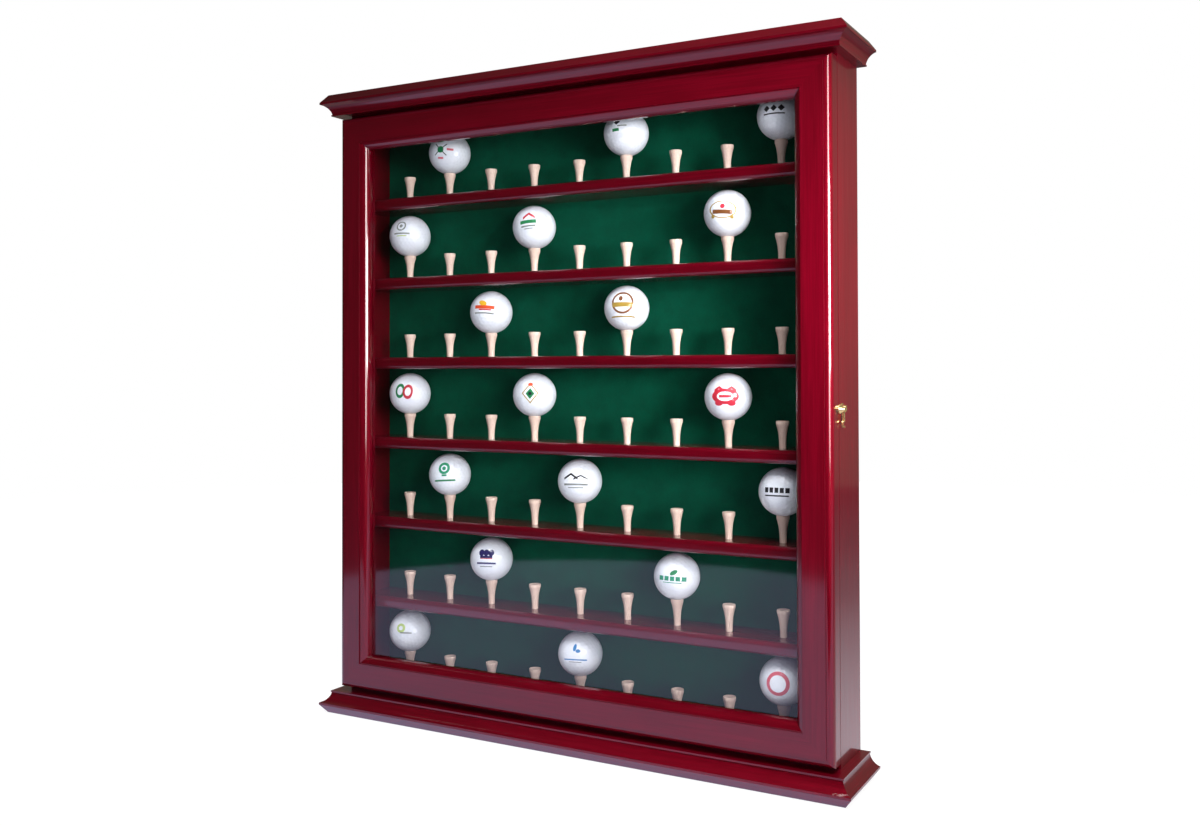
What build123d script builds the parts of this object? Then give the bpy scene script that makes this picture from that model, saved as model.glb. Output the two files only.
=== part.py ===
"""Glazed display case for sixty-three golf balls, each standing on a wooden tee.

A shallow wooden case stands on a moulded base and carries a matching crown. Seven rows of
tees stand on the floor panel and on six shelves, in front of a felt-covered back. A mitred
door with one pane of glass closes the whole front: it hangs on two butt hinges at the left
and is held by a swinging hook on the right side.

Frame: millimetres, +X to the right, -Y to the front, +Z up. The origin is the centre of the
underside of the bounding box.
"""
import os
from math import acos, atan2, cos, degrees, pi, sin, sqrt

from build123d import *

os.makedirs("parts", exist_ok=True)

# ---------------------------------------------------------------- driving dimensions
# Golf balls and the tees they stand on
ball_diameter = 42.67
ball_seat_clearance = 0.1
ball_sides = 14
ball_bands = 6
tee_height = 24.0
tee_foot_radius = 3.1
tee_shank_height = 12.0
tee_shank_radius = 3.7
tee_collar_height = 3.5
tee_rim_radius = 5.8
tee_cup_depth = 1.5
tee_cup_floor_radius = 2.0
tee_sides = 8

# Rows and columns
row_count = 7
column_count = 9
ball_side_gap = 8.7
ball_end_margin = 46.5
ball_headroom = 4.4
top_row_headroom = 9.0
ball_front_gap = 2.7
ball_back_gap = 1.6

# Case
panel_thickness = 12.0
floor_thickness = 15.5
shelf_thickness = 12.0
shelf_setback = 1.0
shelf_nose_radius = 4.0
felt_thickness = 1.0
felt_clearance = 0.3
back_panel_thickness = 5.0
back_panel_inset = 3.0
back_rabbet_width = 6.0

# Crown and base: one moulding, used both ways up
moulding_height = 22.0
moulding_overhang = 17.5
moulding_shoulder = 9.0
moulding_chamfer_width = 6.5
moulding_chamfer_height = 8.5
moulding_tip_height = 2.0
moulding_tip_step = 0.8
moulding_listel_height = 1.5
moulding_listel_step = 0.8
moulding_cove_depth = 1.8
moulding_reach = 11.0

# Door
door_thickness = 18.0
door_back_gap = 1.0
door_bottom_gap = 4.5
door_top_gap = 3.0
frame_width = 34.0
frame_edge_radius = 5.5
frame_edge_step = 1.0
frame_edge_band = 6.5
frame_bead_width = 7.5
frame_bead_step = 1.2
frame_bead_quirk = 0.8
frame_bead_bulge = 1.3
frame_sight_height = 9.5
glass_thickness = 3.0
glass_edge_clearance = 1.0
glass_rabbet_width = 8.0
glazing_strip_thickness = 3.0
glazing_strip_width = 6.5

# Butt hinges
hinge_height = 40.0
hinge_end_distance = 75.0
hinge_leaf_width = 10.0
hinge_leaf_thickness = 1.2
hinge_mortise_depth = 0.8
hinge_mortise_clearance = 0.1
hinge_knuckle_radius = 2.4
hinge_knuckle_gap = 0.2
hinge_barrel_clearance = 0.2
hinge_pin_radius = 1.1
hinge_pin_clearance = 0.05
hinge_pin_head_radius = 2.0
hinge_pin_head_height = 1.2

# Hook latch
latch_pivot_setback = 6.0
latch_stud_setback = 6.0
latch_rosette_radius = 4.5
latch_rosette_thickness = 1.0
latch_post_radius = 1.5
latch_post_clearance = 0.05
latch_post_head_radius = 2.8
latch_post_head_height = 1.2
latch_side_play = 0.15
hook_thickness = 1.6
hook_eye_radius = 3.1
hook_arm_width = 3.2
hook_head_radius = 3.2
hook_throat_clearance = 0.5
stud_neck_radius = 1.3
stud_head_clearance = 0.4
stud_head_radius = 4.0
stud_head_length = 4.0
stud_tip_radius = 1.4

# ---------------------------------------------------------------- what follows from them
ball_radius = ball_diameter / 2
ball_centre_rise = sqrt(ball_radius**2 - tee_rim_radius**2) + ball_seat_clearance
ball_top_height = tee_height + ball_centre_rise + ball_radius
column_pitch = ball_diameter + ball_side_gap
row_pitch = ball_top_height + ball_headroom + shelf_thickness

inner_width = (column_count - 1) * column_pitch + 2 * ball_end_margin
inner_height = (row_count - 1) * row_pitch + ball_top_height + top_row_headroom
case_width = inner_width + 2 * panel_thickness
case_height = inner_height + floor_thickness + panel_thickness
lining_depth = felt_thickness + back_panel_thickness + back_panel_inset
case_depth = ball_front_gap + ball_diameter + ball_back_gap + lining_depth

overall_depth = case_depth + door_back_gap + door_thickness + moulding_reach
overall_height = case_height + 2 * moulding_height

back_y = overall_depth / 2
case_front_y = back_y - case_depth
door_back_y = case_front_y - door_back_gap
door_face_y = door_back_y - door_thickness
board_front_y = door_face_y - moulding_reach + moulding_overhang
board_depth = back_y - board_front_y
felt_face_y = case_front_y + ball_front_gap + ball_diameter + ball_back_gap
felt_back_y = felt_face_y + felt_thickness
back_panel_rear_y = back_y - back_panel_inset
tee_y = case_front_y + ball_front_gap + ball_radius

side_x = case_width / 2
inner_x = inner_width / 2
case_bottom_z = moulding_height
case_top_z = case_bottom_z + case_height
floor_z = case_bottom_z + floor_thickness
ceiling_z = case_top_z - panel_thickness
deck_heights = [floor_z + row * row_pitch for row in range(row_count)]
column_places = [(column - (column_count - 1) / 2) * column_pitch for column in range(column_count)]

door_bottom_z = case_bottom_z + door_bottom_gap
door_top_z = case_top_z - door_top_gap
door_height = door_top_z - door_bottom_z
glass_rabbet_depth = glass_thickness + glazing_strip_thickness
rabbet_x = side_x - frame_width + glass_rabbet_width
rabbet_bottom_z = door_bottom_z + frame_width - glass_rabbet_width
rabbet_top_z = door_top_z - frame_width + glass_rabbet_width
glass_back_y = door_back_y - glazing_strip_thickness

# The tees of each row from the left, with the top row first: O holds a ball, - is empty
ball_layout = [
    "-O---O--O",
    "O--O---O-",
    "--O--O---",
    "O--O---O-",
    "-O--O---O",
    "--O---O--",
    "O---O---O",
]


def write(piece, name):
    """Label a finished piece and write it as one STEP file."""
    piece.part.label = name
    export_step(piece.part, f"parts/{name}.step")


# ---------------------------------------------------------------- crown and base
def edge_moulding(start, length, mitre_start, mitre_end):
    """Cut one length of the crown and base moulding.

    The start plane stands at the edge of the board that carries the moulding: its X axis
    points outwards, its Y axis from the outer face towards the door, and its Z axis along
    the run. A mitred end follows the diagonal of an outside corner.
    """
    chamfer_foot = (moulding_overhang - moulding_chamfer_width, 0)
    tip_foot = (moulding_overhang, moulding_chamfer_height)
    tip_top = (moulding_overhang, moulding_chamfer_height + moulding_tip_height)
    cove_foot = (moulding_overhang - moulding_tip_step, tip_top[1])
    cove_top = (moulding_shoulder - moulding_listel_step, moulding_height - moulding_listel_height)
    listel_foot = (moulding_shoulder, cove_top[1])
    listel_top = (moulding_shoulder, moulding_height)
    before = moulding_overhang if mitre_start else 0
    after = moulding_overhang if mitre_end else 0
    with BuildPart() as moulding:
        with BuildSketch(start.offset(-before)):
            with BuildLine():
                Polyline((0, 0), chamfer_foot, tip_foot, tip_top, cove_foot)
                SagittaArc(cove_foot, cove_top, moulding_cove_depth)
                Polyline(cove_top, listel_foot, listel_top, (0, moulding_height), (0, 0))
            make_face()
        extrude(amount=before + length + after)
        if mitre_start:
            outside = start.x_dir * -1 - start.z_dir
            split(bisect_by=Plane(start.origin, start.y_dir, outside), keep=Keep.BOTTOM)
        if mitre_end:
            corner = start.origin + start.z_dir * length
            outside = start.z_dir - start.x_dir
            split(bisect_by=Plane(corner, start.y_dir, outside), keep=Keep.BOTTOM)
    return moulding


def edge_board(bottom_z):
    """Make the flat board inside the mouldings, flush with them above and below."""
    with BuildPart() as board:
        with BuildSketch(Plane.XY.offset(bottom_z)):
            with Locations((0, board_front_y)):
                Rectangle(case_width, board_depth, align=(Align.CENTER, Align.MIN))
        extrude(amount=moulding_height)
    return board


base_front_start = Plane((side_x, board_front_y, 0), (0, -1, 0), (-1, 0, 0))
base_left_start = Plane((-side_x, board_front_y, 0), (-1, 0, 0), (0, 1, 0))
base_right_start = Plane((side_x, back_y, 0), (1, 0, 0), (0, -1, 0))
crown_front_start = Plane((-side_x, board_front_y, overall_height), (0, -1, 0), (1, 0, 0))
crown_left_start = Plane((-side_x, back_y, overall_height), (-1, 0, 0), (0, -1, 0))
crown_right_start = Plane((side_x, board_front_y, overall_height), (1, 0, 0), (0, 1, 0))

write(edge_board(0), "base_board")
write(edge_moulding(base_front_start, case_width, True, True), "base_moulding_front")
write(edge_moulding(base_left_start, board_depth, True, False), "base_moulding_left")
write(edge_moulding(base_right_start, board_depth, False, True), "base_moulding_right")
write(edge_board(case_top_z), "crown_board")
write(edge_moulding(crown_front_start, case_width, True, True), "crown_moulding_front")
write(edge_moulding(crown_left_start, board_depth, False, True), "crown_moulding_left")
write(edge_moulding(crown_right_start, board_depth, True, False), "crown_moulding_right")

# ---------------------------------------------------------------- hinge places
hinge_x = -side_x - hinge_knuckle_radius - hinge_barrel_clearance
hinge_y = (case_front_y + door_back_y) / 2
hinge_bottoms = {
    "lower": door_bottom_z + hinge_end_distance - hinge_height / 2,
    "upper": door_top_z - hinge_end_distance - hinge_height / 2,
}
mortise_width = hinge_leaf_width + hinge_mortise_clearance
mortise_height = hinge_height + 2 * hinge_mortise_clearance


def hinge_mortises(edge_y, into):
    """Make the two shallow recesses that are cut at the left edge to take the hinge leaves."""
    with BuildPart() as mortises:
        for bottom_z in hinge_bottoms.values():
            with BuildSketch(Plane.XY.offset(bottom_z - hinge_mortise_clearance)):
                with Locations((-side_x, edge_y + into * hinge_mortise_depth / 2)):
                    Rectangle(mortise_width, hinge_mortise_depth, align=(Align.MIN, Align.CENTER))
            extrude(amount=mortise_height)
    return mortises


case_mortises = hinge_mortises(case_front_y, 1)
door_mortises = hinge_mortises(door_back_y, -1)


# ---------------------------------------------------------------- case
def side_panel(side):
    """Make one side of the case, rabbeted at the back for the back panel."""
    rabbet_depth = back_panel_thickness + back_panel_inset
    with BuildPart() as panel:
        with BuildSketch(Plane.XY.offset(case_bottom_z)):
            with BuildLine():
                Polyline(
                    (side * inner_x, case_front_y),
                    (side * side_x, case_front_y),
                    (side * side_x, back_y),
                    (side * (inner_x + back_rabbet_width), back_y),
                    (side * (inner_x + back_rabbet_width), back_y - rabbet_depth),
                    (side * inner_x, back_y - rabbet_depth),
                    close=True,
                )
            make_face()
        extrude(amount=case_height)
        if side < 0:
            add(case_mortises.part, mode=Mode.SUBTRACT)
    return panel


def end_panel(bottom_z, thickness):
    """Make the floor or ceiling panel that spans between the sides."""
    with BuildPart() as panel:
        with BuildSketch(Plane.XY.offset(bottom_z)):
            with Locations((0, case_front_y)):
                Rectangle(inner_width, felt_back_y - case_front_y, align=(Align.CENTER, Align.MIN))
        extrude(amount=thickness)
    return panel


write(side_panel(-1), "side_panel_left")
write(side_panel(1), "side_panel_right")
write(end_panel(case_bottom_z, floor_thickness), "floor_panel")
write(end_panel(ceiling_z, panel_thickness), "ceiling_panel")

with BuildPart() as back_panel:
    with BuildSketch(Plane.XY.offset(case_bottom_z)):
        with Locations((0, felt_back_y)):
            Rectangle(
                inner_width + 2 * back_rabbet_width,
                back_panel_thickness,
                align=(Align.CENTER, Align.MIN),
            )
    extrude(amount=case_height)
write(back_panel, "back_panel")

with BuildPart() as felt_lining:
    with BuildSketch(Plane.XY.offset(floor_z)):
        with Locations((0, felt_face_y)):
            Rectangle(inner_width, felt_thickness, align=(Align.CENTER, Align.MIN))
    extrude(amount=inner_height)
write(felt_lining, "felt_lining")

# ---------------------------------------------------------------- shelves
shelf_front_y = case_front_y + shelf_setback
shelf_depth = felt_face_y - felt_clearance - shelf_front_y
for number, deck_z in enumerate(reversed(deck_heights[1:]), start=1):
    with BuildPart() as shelf:
        with BuildSketch(Plane.XY.offset(deck_z - shelf_thickness)):
            with Locations((0, shelf_front_y)):
                Rectangle(inner_width, shelf_depth, align=(Align.CENTER, Align.MIN))
        extrude(amount=shelf_thickness)
        nose_edges = shelf.faces().sort_by(Axis.Y)[0].edges().filter_by(Axis.X)
        fillet(nose_edges, shelf_nose_radius)
    write(shelf, f"shelf_{number}")

# ---------------------------------------------------------------- tees and balls
def polygon_band(bottom, top, sides):
    """Make a flat-sided band between two sections, each a height and a radius."""
    bottom_z, bottom_radius = bottom
    top_z, top_radius = top
    foot = Plane.XY.offset(bottom_z)
    lean = degrees(atan2((bottom_radius - top_radius) * cos(pi / sides), top_z - bottom_z))
    with BuildPart() as band:
        with BuildSketch(foot):
            RegularPolygon(bottom_radius, sides)
        extrude(amount=top_z - bottom_z)
        if lean:
            draft(band.faces().filter_by(Axis.Z, reverse=True), foot, lean)
    return band


def faceted_turning(sections, sides):
    """Stack bands into a form that a lathe would turn, flat-sided to keep its copies light."""
    with BuildPart() as turning:
        for bottom, top in zip(sections, sections[1:]):
            add(polygon_band(bottom, top, sides).part)
    return turning


tee_sections = [
    (0, tee_foot_radius),
    (tee_shank_height, tee_shank_radius),
    (tee_height - tee_collar_height, tee_rim_radius),
    (tee_height, tee_rim_radius),
]
cup_sections = [(tee_height - tee_cup_depth, tee_cup_floor_radius), (tee_height, tee_rim_radius)]
tee_blank = faceted_turning(tee_sections, tee_sides)
tee_cup = faceted_turning(cup_sections, tee_sides)
with BuildPart() as tee:
    add(tee_blank.part)
    add(tee_cup.part, mode=Mode.SUBTRACT)

tee_places = [(x, tee_y, deck_z) for deck_z in deck_heights for x in column_places]
with BuildPart() as tees:
    with Locations(tee_places):
        add(tee.part)
write(tees, "tees")

# The lowest ring of each ball lies on its tee's rim
rim_latitude = acos(tee_rim_radius / ball_radius)
ball_latitudes = [rim_latitude * (2 * band / ball_bands - 1) for band in range(ball_bands + 1)]
ball_sections = [(ball_radius * sin(angle), ball_radius * cos(angle)) for angle in ball_latitudes]
ball = faceted_turning(ball_sections, ball_sides)
ball_places = [
    (x, tee_y, deck_z + tee_height + ball_centre_rise)
    for deck_z, row in zip(deck_heights, reversed(ball_layout))
    for x, mark in zip(column_places, row)
    if mark == "O"
]
with BuildPart() as golf_balls:
    with Locations(ball_places):
        add(ball.part)
write(golf_balls, "golf_balls")


# ---------------------------------------------------------------- door frame
def frame_member(start, length):
    """Cut one moulded member of the door frame, mitred at both ends.

    The start plane stands at the member's outer back corner: its X axis points across the
    member towards the glass, its Y axis from the back to the face, and its Z axis along
    the run.
    """
    edge_top = door_thickness - frame_edge_step
    bead_start = frame_width - frame_bead_width
    bead_top = (bead_start + frame_bead_quirk, door_thickness - frame_bead_step)
    sight_top = (frame_width, frame_sight_height)
    rabbet_foot = frame_width - glass_rabbet_width
    with BuildPart() as member:
        with BuildSketch(start):
            with BuildLine():
                Polyline((frame_edge_radius, edge_top), (frame_edge_band, edge_top),
                         (frame_edge_band, door_thickness), (bead_start, door_thickness),
                         (bead_start, bead_top[1]), bead_top)
                SagittaArc(bead_top, sight_top, frame_bead_bulge)
                Polyline(sight_top, (frame_width, glass_rabbet_depth),
                         (rabbet_foot, glass_rabbet_depth), (rabbet_foot, 0), (0, 0),
                         (0, edge_top - frame_edge_radius))
                RadiusArc((0, edge_top - frame_edge_radius), (frame_edge_radius, edge_top),
                          frame_edge_radius)
            make_face()
        extrude(amount=length)
        outside = start.x_dir - start.z_dir
        split(bisect_by=Plane(start.origin, start.y_dir, outside), keep=Keep.BOTTOM)
        corner = start.origin + start.z_dir * length
        outside = start.x_dir + start.z_dir
        split(bisect_by=Plane(corner, start.y_dir, outside), keep=Keep.BOTTOM)
    return member


stile_left_start = Plane((-side_x, door_back_y, door_top_z), (1, 0, 0), (0, 0, -1))
stile_right_start = Plane((side_x, door_back_y, door_bottom_z), (-1, 0, 0), (0, 0, 1))
rail_top_start = Plane((side_x, door_back_y, door_top_z), (0, 0, -1), (-1, 0, 0))
rail_bottom_start = Plane((-side_x, door_back_y, door_bottom_z), (0, 0, 1), (1, 0, 0))

stile_blank = frame_member(stile_left_start, door_height)
with BuildPart() as door_stile_left:
    add(stile_blank.part)
    add(door_mortises.part, mode=Mode.SUBTRACT)
write(door_stile_left, "door_stile_left")
write(frame_member(stile_right_start, door_height), "door_stile_right")
write(frame_member(rail_top_start, case_width), "door_rail_top")
write(frame_member(rail_bottom_start, case_width), "door_rail_bottom")

# ---------------------------------------------------------------- glass and its strips
glass_width = 2 * (rabbet_x - glass_edge_clearance)
glass_height = rabbet_top_z - rabbet_bottom_z - 2 * glass_edge_clearance
with BuildPart() as door_glass:
    with BuildSketch(Plane.XY.offset(rabbet_bottom_z + glass_edge_clearance)):
        with Locations((0, glass_back_y)):
            Rectangle(glass_width, glass_thickness, align=(Align.CENTER, Align.MAX))
    extrude(amount=glass_height)
write(door_glass, "door_glass")

strip_y = door_back_y - glazing_strip_thickness / 2
with BuildPart() as glazing_strips:
    with BuildSketch(Plane.XY.offset(rabbet_bottom_z)):
        with Locations((-rabbet_x + glazing_strip_width / 2, strip_y),
                       (rabbet_x - glazing_strip_width / 2, strip_y)):
            Rectangle(glazing_strip_width, glazing_strip_thickness)
    extrude(amount=rabbet_top_z - rabbet_bottom_z)
    for bottom_z in (rabbet_bottom_z, rabbet_top_z - glazing_strip_width):
        with BuildSketch(Plane.XY.offset(bottom_z)):
            with Locations((0, strip_y)):
                Rectangle(2 * (rabbet_x - glazing_strip_width), glazing_strip_thickness)
        extrude(amount=glazing_strip_width)
write(glazing_strips, "glazing_strips")

# ---------------------------------------------------------------- hinges
knuckle_height = (hinge_height - 2 * hinge_knuckle_gap) / 3
knuckle_rises = [index * (knuckle_height + hinge_knuckle_gap) for index in range(3)]


def hinge_leaf(bottom_z, edge_y, into, rises):
    """Make one hinge leaf: a plate let into the wood, and its knuckles round the pin."""
    floor_y = edge_y + into * hinge_mortise_depth
    plate_y = floor_y - into * hinge_leaf_thickness / 2
    with BuildPart() as leaf:
        with BuildSketch(Plane.XY.offset(bottom_z)):
            with Locations((-side_x + hinge_leaf_width / 2, plate_y)):
                Rectangle(hinge_leaf_width, hinge_leaf_thickness)
        extrude(amount=hinge_height)
        for rise in rises:
            with BuildSketch(Plane.XY.offset(bottom_z + rise)):
                with Locations((hinge_x, hinge_y)):
                    Circle(hinge_knuckle_radius)
                with Locations((hinge_x, plate_y)):
                    Rectangle(-side_x - hinge_x, hinge_leaf_thickness, align=(Align.MIN, Align.CENTER))
                with Locations((hinge_x, hinge_y)):
                    Circle(hinge_pin_radius + hinge_pin_clearance, mode=Mode.SUBTRACT)
            extrude(amount=knuckle_height)
    return leaf


for place, hinge_bottom_z in hinge_bottoms.items():
    outer_rises = knuckle_rises[0::2]
    middle_rises = knuckle_rises[1::2]
    write(hinge_leaf(hinge_bottom_z, case_front_y, 1, outer_rises), f"hinge_{place}_case_leaf")
    write(hinge_leaf(hinge_bottom_z, door_back_y, -1, middle_rises), f"hinge_{place}_door_leaf")
    with BuildPart() as hinge_pin:
        with BuildSketch(Plane.XY.offset(hinge_bottom_z)):
            with Locations((hinge_x, hinge_y)):
                Circle(hinge_pin_radius)
        extrude(amount=hinge_height)
        with BuildSketch(Plane.XY.offset(hinge_bottom_z + hinge_height)):
            with Locations((hinge_x, hinge_y)):
                Circle(hinge_pin_head_radius)
        extrude(amount=hinge_pin_head_height)
    write(hinge_pin, f"hinge_{place}_pin")

# ---------------------------------------------------------------- hook latch
latch_z = (door_bottom_z + door_top_z) / 2
latch_pivot_y = case_front_y + latch_pivot_setback
latch_stud_y = door_back_y - latch_stud_setback
hook_reach = latch_pivot_y - latch_stud_y
hook_inner_x = side_x + latch_rosette_thickness + latch_side_play
hook_outer_x = hook_inner_x + hook_thickness
throat_radius = stud_neck_radius + hook_throat_clearance

with BuildPart() as latch_pivot:
    with BuildSketch(Plane.YZ.offset(side_x)):
        with Locations((latch_pivot_y, latch_z)):
            Circle(latch_rosette_radius)
    extrude(amount=latch_rosette_thickness)
    with BuildSketch(Plane.YZ.offset(side_x)):
        with Locations((latch_pivot_y, latch_z)):
            Circle(latch_post_radius)
    extrude(amount=hook_outer_x + latch_side_play - side_x)
    with BuildSketch(Plane.YZ.offset(hook_outer_x + latch_side_play)):
        with Locations((latch_pivot_y, latch_z)):
            Circle(latch_post_head_radius)
    extrude(amount=latch_post_head_height)
write(latch_pivot, "latch_pivot")

# The hook hangs from its pivot; its throat opens to the rear, and downwards once it is over
with BuildPart() as latch_hook:
    with BuildSketch(Plane.YZ.offset(hook_inner_x)):
        with Locations((latch_pivot_y, latch_z)):
            Circle(hook_eye_radius)
            Rectangle(hook_arm_width, hook_reach, align=(Align.CENTER, Align.MAX))
        with Locations((latch_pivot_y, latch_z - hook_reach)):
            Circle(hook_head_radius)
            Circle(throat_radius, mode=Mode.SUBTRACT)
            Rectangle(
                2 * hook_head_radius,
                2 * throat_radius,
                align=(Align.MIN, Align.CENTER),
                mode=Mode.SUBTRACT,
            )
        with Locations((latch_pivot_y, latch_z)):
            Circle(latch_post_radius + latch_post_clearance, mode=Mode.SUBTRACT)
    extrude(amount=hook_thickness)
write(latch_hook, "latch_hook")

# The stud is turned: a neck for the hook, and a head that narrows to its tip
stud_head_rise = hook_outer_x - side_x + stud_head_clearance
stud_tip_rise = stud_head_rise + stud_head_length
stud_foot = (side_x, latch_stud_y, latch_z)
with BuildPart() as latch_stud:
    with BuildSketch(Plane(stud_foot, (0, 1, 0), (0, 0, -1))):
        with BuildLine():
            Polyline(
                (0, 0),
                (stud_neck_radius, 0),
                (stud_neck_radius, stud_head_rise),
                (stud_head_radius, stud_head_rise),
                (stud_tip_radius, stud_tip_rise),
                (0, stud_tip_rise),
                close=True,
            )
        make_face()
    revolve(axis=Axis(stud_foot, (1, 0, 0)))
write(latch_stud, "latch_stud")
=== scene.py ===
"""Golf ball display case: finishes, turned and dimpled pieces, fittings, studio and camera."""

import logging
import math
from abc import ABC, abstractmethod
from dataclasses import dataclass
from enum import Enum
from functools import cache
from typing import ClassVar

import bpy
from mathutils import Matrix, Quaternion, Vector


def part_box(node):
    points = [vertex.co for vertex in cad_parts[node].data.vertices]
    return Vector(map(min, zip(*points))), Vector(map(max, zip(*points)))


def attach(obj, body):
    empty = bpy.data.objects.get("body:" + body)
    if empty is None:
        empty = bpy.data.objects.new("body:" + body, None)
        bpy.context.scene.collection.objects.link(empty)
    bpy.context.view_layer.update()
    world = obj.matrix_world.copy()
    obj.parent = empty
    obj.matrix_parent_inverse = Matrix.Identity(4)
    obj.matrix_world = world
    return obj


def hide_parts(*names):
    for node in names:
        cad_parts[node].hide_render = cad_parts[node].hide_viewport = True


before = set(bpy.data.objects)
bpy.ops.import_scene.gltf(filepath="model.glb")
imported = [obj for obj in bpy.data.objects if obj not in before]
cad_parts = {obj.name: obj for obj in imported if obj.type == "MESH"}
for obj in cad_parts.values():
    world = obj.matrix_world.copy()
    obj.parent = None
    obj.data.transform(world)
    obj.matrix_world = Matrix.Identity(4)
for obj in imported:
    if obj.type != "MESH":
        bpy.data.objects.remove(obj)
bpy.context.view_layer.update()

MM = 0.001
SHELVES = tuple(f"shelf_{number}" for number in range(1, 7))
log = logging.getLogger("display_case")


def linear(colour: str) -> tuple[float, float, float, float]:
    """Turn an sRGB hex colour into the linear values that Blender's sockets take.

    Args:
        colour: Seven characters, such as "#A0001E".

    Returns:
        Red, green, blue and an alpha of 1.
    """
    channels = [int(colour[place : place + 2], 16) / 255 for place in (1, 3, 5)]
    bent = [c / 12.92 if c <= 0.04045 else ((c + 0.055) / 1.055) ** 2.4 for c in channels]
    return (bent[0], bent[1], bent[2], 1.0)


def add_node(
    tree: bpy.types.NodeTree,
    kind: str,
    inputs: dict | None = None,
    stops: dict[float, str] | None = None,
    **settings: object,
) -> bpy.types.Node:
    """Add one node, with its settings, its socket values and its links.

    Args:
        tree: The node tree that takes the node.
        kind: The node's type name.
        inputs: A value, an output socket, or a node whose first output is meant, for each
            input, by the input's name or number.
        stops: A hex colour for each place on a colour ramp, from low to high.
        settings: The node's own properties.

    Returns:
        The new node.
    """
    node = tree.nodes.new(kind)
    for name, value in settings.items():
        setattr(node, name, value)
    for name, value in (inputs or {}).items():
        if isinstance(value, bpy.types.Node):
            value = value.outputs[0]
        if isinstance(value, bpy.types.NodeSocket):
            tree.links.new(value, node.inputs[name])
        else:
            node.inputs[name].default_value = value
    if stops:
        elements = node.color_ramp.elements
        while len(elements) < len(stops):
            elements.new(0.5)
        for element, (place, colour) in zip(elements, stops.items()):
            element.position = place
            element.color = linear(colour)
    return node


# ---------------------------------------------------------------- finishes
class Finish(ABC):
    """A finish: one material on Object coordinates, made on first use and then shared."""

    title: ClassVar[str]

    def name(self) -> str:
        """Give the material's name."""
        return self.title

    @abstractmethod
    def shader(self, tree: bpy.types.NodeTree, place: bpy.types.NodeSocket) -> bpy.types.Node:
        """Lay out the finish's nodes.

        Args:
            tree: The material's node tree.
            place: The place on the piece, in metres.

        Returns:
            The shader node.
        """

    @cache
    def material(self) -> bpy.types.Material:
        """Give the material, made on first use."""
        material = bpy.data.materials.new(self.name())
        material.use_nodes = True
        tree = material.node_tree
        tree.nodes.clear()
        place = add_node(tree, "ShaderNodeTexCoord").outputs["Object"]
        shader = self.shader(tree, place)
        add_node(tree, "ShaderNodeOutputMaterial", {"Surface": shader})
        return material


class Grain(Enum):
    """The way the grain runs along a board, as the size of its figure on X, Y and Z."""

    ALONG_X = (1, 0, 0)
    ALONG_Y = (0, 1, 0)
    ALONG_Z = (0, 0, 1)

    def scale(self, along_mm: float, across_mm: float) -> tuple[float, float, float]:
        """Give a Mapping node's scale for a figure of this length and width."""
        return tuple(1000 / (along_mm if part else across_mm) for part in self.value)


@dataclass(frozen=True)
class CherryLacquer(Finish):
    """Cherry-stained hardwood under rubbed gloss nitrocellulose lacquer.

    The stain hides most of the grain: the eye gets a deep, even red with faint streaks
    along the board, below a clear coat whose reflections are sharp.
    """

    title: ClassVar[str] = "cherry_lacquer"
    grain: Grain
    streak_width_mm: float = 0.9
    streak_length_mm: float = 45.0
    figure_width_mm: float = 16.0
    figure_length_mm: float = 260.0
    figure_share: float = 0.65
    pore_depth_mm: float = 0.05
    coat_roughness: float = 0.09
    coat_index: float = 1.6

    def name(self) -> str:
        """Give the material's name, which says how its grain runs."""
        return f"{self.title}_{self.grain.name.lower()}"

    def shader(self, tree: bpy.types.NodeTree, place: bpy.types.NodeSocket) -> bpy.types.Node:
        """Streak and figure the stain, open the pores, and coat them.

        Args:
            tree: The material's node tree.
            place: The place on the piece.

        Returns:
            The shader node.
        """
        streak_scale = self.grain.scale(self.streak_length_mm, self.streak_width_mm)
        streak_place = add_node(tree, "ShaderNodeMapping", {"Vector": place, "Scale": streak_scale})
        streaks = add_node(
            tree,
            "ShaderNodeTexNoise",
            {"Vector": streak_place, "Scale": 1.0, "Detail": 3.0, "Roughness": 0.6},
        )
        figure_scale = self.grain.scale(self.figure_length_mm, self.figure_width_mm)
        figure_place = add_node(tree, "ShaderNodeMapping", {"Vector": place, "Scale": figure_scale})
        figure = add_node(
            tree,
            "ShaderNodeTexNoise",
            {"Vector": figure_place, "Scale": 1.0, "Detail": 4.0, "Distortion": 0.6},
        )
        tone = add_node(
            tree,
            "ShaderNodeMath",
            {0: figure, 1: self.figure_share, 2: streaks},
            operation="MULTIPLY_ADD",
        )
        stain = add_node(
            tree,
            "ShaderNodeValToRGB",
            {"Fac": tone},
            stops={0.5: "#48000A", 0.8: "#54000E", 1.0: "#5F0012"},
        )
        rough = add_node(
            tree,
            "ShaderNodeMapRange",
            {"Value": streaks, "From Min": 0.3, "From Max": 0.7, "To Min": 0.42, "To Max": 0.56},
        )
        pores = {"Strength": 0.1, "Distance": self.pore_depth_mm * MM, "Height": streaks}
        return add_node(
            tree,
            "ShaderNodeBsdfPrincipled",
            {
                "Base Color": stain,
                "Roughness": rough,
                "Normal": add_node(tree, "ShaderNodeBump", pores),
                "Specular IOR Level": 0.5,
                "Specular Tint": linear("#FF3048"),
                "Coat Weight": 1.0,
                "Coat Roughness": self.coat_roughness,
                "Coat IOR": self.coat_index,
            },
        )


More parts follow.
